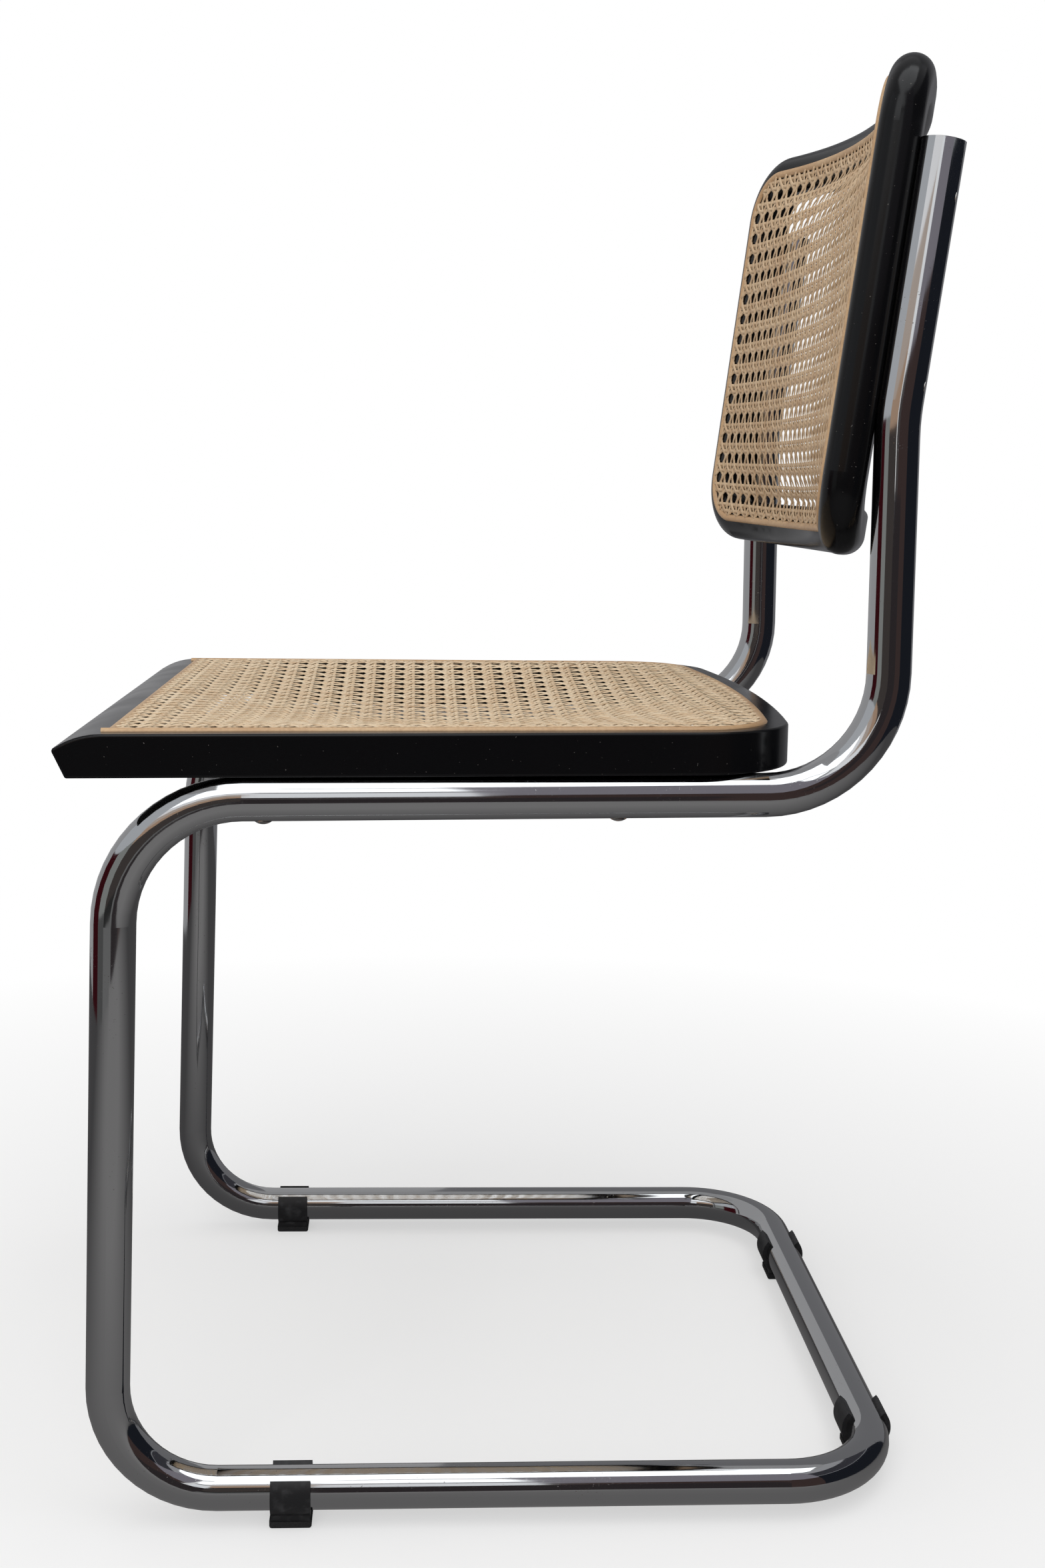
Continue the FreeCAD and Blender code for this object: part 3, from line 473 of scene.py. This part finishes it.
def weave(name, outline, place, seed):
    """Whole panel: strands in the plane of the outline, set on a surface by place."""
    random = np.random.default_rng(seed)
    points, sides, caps, tones = [], [], [], []
    total = 0
    for start, heading, width, height in weave_lines(outline):
        span = clipped(start, heading, outline)
        if span is None:
            continue
        added = strand(start, heading, width, height, span, random)
        points.append(added)
        tones.append(np.full(len(added), random.uniform(0, 1)))
        added_sides, added_caps = strand_faces(total, len(added) // len(SECTION) - 1)
        sides.append(added_sides)
        caps.extend(added_caps)
        total += len(added)
    points = place(np.concatenate(points))
    return add_panel(name, points, np.concatenate(sides), np.concatenate(caps), np.concatenate(tones))


def arc(centre, radius, first, last, steps):
    """Points on an arc between two angles in radians."""
    angles = np.linspace(first, last, steps)
    return [np.array((centre[0] + radius * math.cos(a), centre[1] + radius * math.sin(a))) for a in angles]


def hollow(across, along, roundness, flatness):
    """Share of a hollow's full depth: 1 at its middle and 0 at its edges, which are 1 away from there."""
    return np.clip(1 - np.abs(across) ** roundness, 0, 1) * np.clip(1 - np.abs(along) ** flatness, 0, 1)


# Middle of the weave over the face of the wood

CANE_HEIGHT = 0.85 * MM

# Seat in its own plane: x to the right, y to the rear from the front spline

SEAT_PIVOT_Y, SEAT_PIVOT_Z = -219.13 * MM, 423.5 * MM
SEAT_TILT = math.atan2(5.0, 428.0)
TUBE_RADIUS = 12.5 * MM
SEAT_TOP = 24.0 * MM
SIDE_FRONT = np.array((222.0, -31.8)) * MM
SIDE_REAR = np.array((208.0, 388.0)) * MM
CROWN_RADIUS = 1440.0 * MM
SEAT_CORNER = 60.0 * MM
SPLINE_INSET = 15.5 * MM
FRONT_EDGE = -1.0 * MM
SEAT_CORNER_POINTS = 14
CROWN_POINTS = 12

# Part of the seat's cane that nothing carries: half its width at the front, what that loses towards the
# rear, its middle, half its length, how far it has sunk, and how round the hollow is across and along

SEAT_FREE_HALF = 189.0 * MM
SEAT_TAPER = (SIDE_FRONT[0] - SIDE_REAR[0]) / (SIDE_REAR[1] - SIDE_FRONT[1])
SEAT_FREE_MIDDLE = 185.0 * MM
SEAT_FREE_REACH = 170.0 * MM
SEAT_SAG = 21.0 * MM
SEAT_HOLLOW = (1.6, 2)


def seat_outline():
    """Outline of the seat's cane, ending under the splines."""
    heading = (SIDE_REAR - SIDE_FRONT) / np.linalg.norm(SIDE_REAR - SIDE_FRONT)
    inwards = np.array((-heading[1], heading[0]))
    crown = np.array((0, SIDE_REAR[1] - CROWN_RADIUS))

    # The rear corner's arc touches the side and the crowned rear edge.
    start = SIDE_FRONT + inwards * SEAT_CORNER - crown
    along = -start @ heading
    along += math.sqrt((CROWN_RADIUS - SEAT_CORNER) ** 2 - start @ start + (start @ heading) ** 2)
    corner = crown + start + heading * along

    radius = SEAT_CORNER - SPLINE_INSET
    side = SIDE_FRONT + inwards * SPLINE_INSET
    front = side + heading * (FRONT_EDGE - side[1]) / heading[1]
    turn = math.atan2(-inwards[1], -inwards[0])
    meet = math.atan2(corner[1] - crown[1], corner[0])
    right = [front] + arc(corner, radius, turn, meet, SEAT_CORNER_POINTS)
    right += arc(crown, CROWN_RADIUS - SPLINE_INSET, meet, math.pi / 2, CROWN_POINTS)[1:]
    left = [np.array((-point[0], point[1])) for point in right[-2::-1]]
    return np.array(right + left)


def on_seat(points):
    """Sets points of the flat weave on the seat, which has sunk in the middle."""
    cosine, sine = math.cos(SEAT_TILT), math.sin(SEAT_TILT)
    forward = points[:, 1]
    across = points[:, 0] / (SEAT_FREE_HALF - forward * SEAT_TAPER)
    along = (forward - SEAT_FREE_MIDDLE) / SEAT_FREE_REACH
    sunk = SEAT_SAG * hollow(across, along, *SEAT_HOLLOW)
    up = points[:, 2] + TUBE_RADIUS + SEAT_TOP + CANE_HEIGHT - sunk
    return np.stack((
        points[:, 0],
        SEAT_PIVOT_Y + forward * cosine - up * sine,
        SEAT_PIVOT_Z + forward * sine + up * cosine,
    ), axis=1)


# Back, bowed about an axis in front of the chair, with flat margins at both sides

BACK_PIVOT_Y, BACK_PIVOT_Z = 189.6 * MM, 699.3 * MM
BACK_LEAN = math.radians(6.5)
BOW = math.radians(18.5)
RAIL_RADIUS = 501.55 * MM
BACK_CORNER = 31.0 * MM
BOW_CENTRE = BACK_CORNER * math.sin(BOW) - RAIL_RADIUS * math.cos(BOW)
BACK_FACE = 12.0 * MM
BACK_CANE_RADIUS = RAIL_RADIUS - BACK_FACE - CANE_HEIGHT
BACK_HALF_HEIGHT = 123.8 * MM
LOOP_INSET = 1.5 * MM
LOOP_HALF = BACK_HALF_HEIGHT - BACK_CORNER
LOOP_RADIUS = BACK_CORNER - LOOP_INSET
LOOP_POINTS = 9

# Part of the back's cane that nothing carries: half its width, half its height, how far it is pulled
# forward from the bow of the rails, and how round that is across and along

BACK_FREE_HALF = 176.0 * MM
BACK_FREE_REACH = 108.0 * MM
BACK_PULL = 19.0 * MM
BACK_HOLLOW = (2, 4)


def back_outline():
    """Outline of the back's cane, unrolled flat, ending under the spline."""
    half = BOW * BACK_CANE_RADIUS
    corners = ((half, LOOP_HALF), (-half, LOOP_HALF), (-half, -LOOP_HALF), (half, -LOOP_HALF))
    points = []
    for quarter, corner in enumerate(corners):
        points += arc(corner, LOOP_RADIUS, quarter * math.pi / 2, (quarter + 1) * math.pi / 2, LOOP_POINTS)
    return np.array(points)


def on_back(points):
    """Sets points of the flat weave on the bowed, leaning back, flatter in the middle than the rails."""
    angle = np.clip(points[:, 0] / BACK_CANE_RADIUS, -BOW, BOW)
    margin = points[:, 0] - angle * BACK_CANE_RADIUS
    pulled = BACK_PULL * hollow(points[:, 0] / BACK_FREE_HALF, points[:, 1] / BACK_FREE_REACH, *BACK_HOLLOW)
    reach = BACK_CANE_RADIUS - points[:, 2] - pulled
    x = np.sin(angle) * reach + np.cos(angle) * margin
    y = BOW_CENTRE + np.cos(angle) * reach - np.sin(angle) * margin
    z = points[:, 1]
    cosine, sine = math.cos(BACK_LEAN), math.sin(BACK_LEAN)
    return np.stack((x, BACK_PIVOT_Y + y * cosine + z * sine, BACK_PIVOT_Z - y * sine + z * cosine), axis=1)


def add_cane():
    """Both panels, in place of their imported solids."""
    for node, outline, place, seed in (
        ("seat_cane", seat_outline(), on_seat, 3),
        ("back_cane", back_outline(), on_back, 4),
    ):
        piece = weave(node + "_weave", outline, place, seed)
        piece.data.materials.append(materials[node])
        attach(piece, "root")
        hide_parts(node)


add_cane()


# Floor and room. The floor is partly plain white at the chair, and wholly so further off.

FLOOR_RADIUS = 9.0
FLOOR_SIDES = 96
FLOOR_ALBEDO = 0.86
WHITER_FROM = 0.35
WHITE_FROM = 1.1
WHITE_AT_CHAIR = 0.5
ROOM_LIGHT = 0.42
WHITE = colour(1, 1, 1)


def shown_to_eye(make):
    """Whether a ray comes from the camera, or from a mirror or glass that the camera sees."""
    seen = make.add("ShaderNodeLightPath")
    either = make.math("MAXIMUM", seen.outputs["Is Camera Ray"], seen.outputs["Is Glossy Ray"])
    return make.math("MAXIMUM", either, seen.outputs["Is Transmission Ray"])


def add_floor():
    """Pale floor that fades to white away from the chair."""
    floor = Nodes("floor")
    floor.set(Base_Color=colour(FLOOR_ALBEDO, FLOOR_ALBEDO, FLOOR_ALBEDO), Roughness=0.7)
    bpy.ops.mesh.primitive_circle_add(vertices=FLOOR_SIDES, radius=FLOOR_RADIUS, fill_type="NGON")
    disc = bpy.context.object
    disc.name = "floor"
    disc.data.materials.append(floor.material)
    distance = floor.add("ShaderNodeVectorMath", operation="LENGTH")
    floor.link(floor.add("ShaderNodeTexCoord").outputs["Object"], distance.inputs[0])
    whiteness = floor.spread(distance.outputs["Value"], WHITER_FROM, WHITE_FROM, to_low=WHITE_AT_CHAIR)
    white = floor.add("ShaderNodeEmission")
    white.inputs["Color"].default_value = WHITE
    blend = floor.add("ShaderNodeMixShader")
    floor.link(floor.math("MULTIPLY", whiteness, shown_to_eye(floor)), blend.inputs[0])
    floor.link(floor.shader.outputs[0], blend.inputs[1])
    floor.link(white.outputs[0], blend.inputs[2])
    floor.link(blend.outputs[0], floor.tree.nodes["Material Output"].inputs["Surface"])


class WorldNodes(Nodes):
    """The same short names for the world's nodes."""

    def __init__(self, name):
        self.world = bpy.data.worlds.new(name)
        self.world.use_nodes = True
        self.tree = self.world.node_tree


def add_world():
    """Even pale light all round, and white where the room itself is seen."""
    make = WorldNodes("room")
    bpy.context.scene.world = make.world
    light = make.tree.nodes["Background"]
    light.inputs["Color"].default_value = WHITE
    light.inputs["Strength"].default_value = ROOM_LIGHT
    white = make.add("ShaderNodeBackground")
    white.inputs["Color"].default_value = WHITE
    white.inputs["Strength"].default_value = 1.0
    blend = make.add("ShaderNodeMixShader")
    make.link(shown_to_eye(make), blend.inputs[0])
    make.link(light.outputs[0], blend.inputs[1])
    make.link(white.outputs[0], blend.inputs[2])
    make.link(blend.outputs[0], make.tree.nodes["World Output"].inputs["Surface"])


# Lamps: name, place, spot that the lamp points at, width, height and radiance

LAMPS = (
    ("lamp_top", (0.5, 0.0, 2.4), (0, 0, 0.4), 2.4, 2.4, 1.5),
    ("lamp_window", (2.7, -0.6, 1.6), (0, -0.2, 0.7), 2.6, 2.2, 2.2),
    ("lamp_front", (0.3, -2.4, 1.4), (0, 0, 0.6), 1.6, 1.6, 1.2),
)


def add_lamp(name, place, aim, width, height, radiance):
    """Soft lamp with the given radiance, which mirrors don't see."""
    data = bpy.data.lights.new(name, "AREA")
    data.shape = "RECTANGLE"
    data.size = width
    data.size_y = height
    data.energy = radiance * math.pi * width * height
    lamp = bpy.data.objects.new(name, data)
    bpy.context.scene.collection.objects.link(lamp)
    lamp.location = place
    lamp.rotation_euler = (Vector(aim) - Vector(place)).to_track_quat("-Z", "Y").to_euler()
    lamp.visible_camera = False
    lamp.visible_glossy = False


# Cards that only mirrors see. The standing ones are arcs about the chair: name, colour, radius,
# angles from +X towards +Y in degrees, and lowest and highest edge.

NEAR_RING = 1.4
FAR_RING = 2.6
CARD_STEPS_PER_RADIAN = 24
CEILING_HEIGHT = 2.5
PANEL_HEIGHT = 2.48
WINDOW = (2.1, 2.15, 2.2)
BROWN = (0.06, 0.04, 0.038)

STANDING_CARDS = (
    ("card_behind", (0.42, 0.42, 0.43), NEAR_RING, 180, 265, 0.0, CEILING_HEIGHT),
    ("card_corner", (0.20, 0.20, 0.21), NEAR_RING, 112, 180, 0.0, CEILING_HEIGHT),
    ("card_maroon", (0.047, 0.006, 0.009), NEAR_RING, -95, -66, 0.0, 0.78),
    ("card_pale", (0.55, 0.57, 0.60), NEAR_RING, -95, -42, 0.78, CEILING_HEIGHT),
    ("card_grey_foot", (0.10, 0.10, 0.10), NEAR_RING, -66, -42, 0.0, 0.20),
    ("card_grey_low", (0.28, 0.29, 0.28), NEAR_RING, -66, -42, 0.20, 0.78),
    ("card_left_foot", (0.18, 0.18, 0.18), NEAR_RING, -42, -7, 0.0, 0.13),
    ("card_left_edge", (0.03, 0.03, 0.03), NEAR_RING, -42, -7, 0.13, 0.22),
    ("card_left_low", (0.065, 0.055, 0.052), NEAR_RING, -42, -7, 0.22, 0.70),
    ("card_tan", (0.50, 0.34, 0.24), NEAR_RING, -42, -7, 0.70, 0.86),
    ("card_tan_high", (0.56, 0.47, 0.41), NEAR_RING, -42, -7, 0.86, 1.06),
    ("card_window_low", (1.0, 1.0, 1.02), NEAR_RING, -42, -7, 1.06, 1.30),
    ("card_window", WINDOW, NEAR_RING, -42, -7, 1.30, CEILING_HEIGHT),
    ("card_middle_low", (0.08, 0.07, 0.07), FAR_RING, -9, 6, 0.0, 0.95),
    ("card_middle", (1.05, 1.07, 1.1), FAR_RING, -9, 6, 0.95, 1.95),
    ("card_middle_band", (0.45, 0.45, 0.46), FAR_RING, -9, 6, 1.95, 2.3),
    ("card_middle_high", WINDOW, FAR_RING, -9, 6, 2.3, 4.0),
    ("card_low", (0.036, 0.030, 0.032), NEAR_RING, -7, 17, 0.0, 0.59),
    ("card_brown", BROWN, NEAR_RING, 17, 42, 0.0, 0.80),
    ("card_brown_middle", BROWN, NEAR_RING, 5, 17, 0.59, 0.80),
    ("card_lilac", (0.26, 0.245, 0.28), NEAR_RING, 5, 42, 0.80, CEILING_HEIGHT),
    ("card_navy", (0.014, 0.016, 0.022), NEAR_RING, 42, 112, 0.0, 0.92),
    ("card_line", (0.35, 0.36, 0.38), NEAR_RING, 42, 112, 0.92, 0.955),
    ("card_navy_high", (0.05, 0.05, 0.06), NEAR_RING, 42, 112, 0.955, 1.7),
    ("card_right_high", (0.40, 0.40, 0.42), NEAR_RING, 42, 112, 1.7, CEILING_HEIGHT),
)

# The level cards: name, colour, two opposite corners and height

CEILING_CARDS = (
    ("card_ceiling", (0.38, 0.38, 0.39), ((-1.6, -1.6), (1.6, 1.6)), CEILING_HEIGHT),
    ("card_panel", WINDOW, ((-0.1, -0.7), (1.5, 1.2)), PANEL_HEIGHT),
)

# The ground as mirrors see it: brighter about a spot below the window

GROUND_CORNERS = ((-1.5, -1.5), (2.7, 1.5))
GROUND_HEIGHT = 0.001
GROUND_SPOT = (1.05, -0.05, 0.0)
GROUND_BRIGHT = (0.25, 0.245, 0.245)
GROUND_DIM = (0.08, 0.078, 0.08)
DIMMER_FROM = 0.45
DIM_FROM = 1.3


def card_material(name, tone):
    """Even glow that doesn't light anything by itself."""
    make = Nodes(name)
    make.set(
        Base_Color=colour(0, 0, 0),
        Specular_IOR_Level=0.0,
        Roughness=1.0,
        Emission_Color=colour(*tone),
        Emission_Strength=1.0,
    )
    make.material.cycles.emission_sampling = "NONE"
    return make


def add_card(name, material, points, faces):
    """Studio card that only reflections see."""
    mesh = bpy.data.meshes.new(name)
    mesh.from_pydata(points, [], faces)
    mesh.materials.append(material)
    card = bpy.data.objects.new(name, mesh)
    bpy.context.scene.collection.objects.link(card)
    card.visible_camera = False
    card.visible_diffuse = False
    card.visible_transmission = False
    card.visible_shadow = False


def add_standing_card(name, tone, radius, first, last, low, high):
    """Upright card on an arc about the chair. Its ends are angles from +X towards +Y."""
    first, last = math.radians(first), math.radians(last)
    turns = np.linspace(first, last, max(LEAST_STEPS, math.ceil((last - first) * CARD_STEPS_PER_RADIAN)))
    ring = [(radius * math.cos(turn), radius * math.sin(turn)) for turn in turns]
    points = [(x, y, height) for height in (low, high) for x, y in ring]
    count = len(turns)
    faces = [(k, k + 1, count + k + 1, count + k) for k in range(count - 1)]
    add_card(name, card_material(name, tone).material, points, faces)


def add_level_card(name, material, corners, height):
    """Level card between two opposite corners."""
    (x0, y0), (x1, y1) = corners
    points = [(x0, y0, height), (x1, y0, height), (x1, y1, height), (x0, y1, height)]
    add_card(name, material, points, [(0, 1, 2, 3)])


def add_ground_card():
    """The ground that mirrors see, which gets dimmer away from a spot."""
    ground = card_material("card_floor", GROUND_BRIGHT)
    distance = ground.add("ShaderNodeVectorMath", operation="DISTANCE")
    ground.link(ground.add("ShaderNodeTexCoord").outputs["Object"], distance.inputs[0])
    distance.inputs[1].default_value = GROUND_SPOT
    dimness = ground.spread(distance.outputs["Value"], DIMMER_FROM, DIM_FROM)
    ground.set(Emission_Color=ground.mix(dimness, colour(*GROUND_BRIGHT), colour(*GROUND_DIM)))
    add_level_card("card_floor", ground.material, GROUND_CORNERS, GROUND_HEIGHT)


def add_studio():
    """Floor, room, lamps, and the cards that give the chrome and the lacquer their bands."""
    add_floor()
    add_world()
    for lamp in LAMPS:
        add_lamp(*lamp)
    for card in STANDING_CARDS:
        add_standing_card(*card)
    add_ground_card()
    for name, tone, corners, height in CEILING_CARDS:
        add_level_card(name, card_material(name, tone).material, corners, height)


add_studio()
bpy.context.scene.view_settings.view_transform = "Standard"
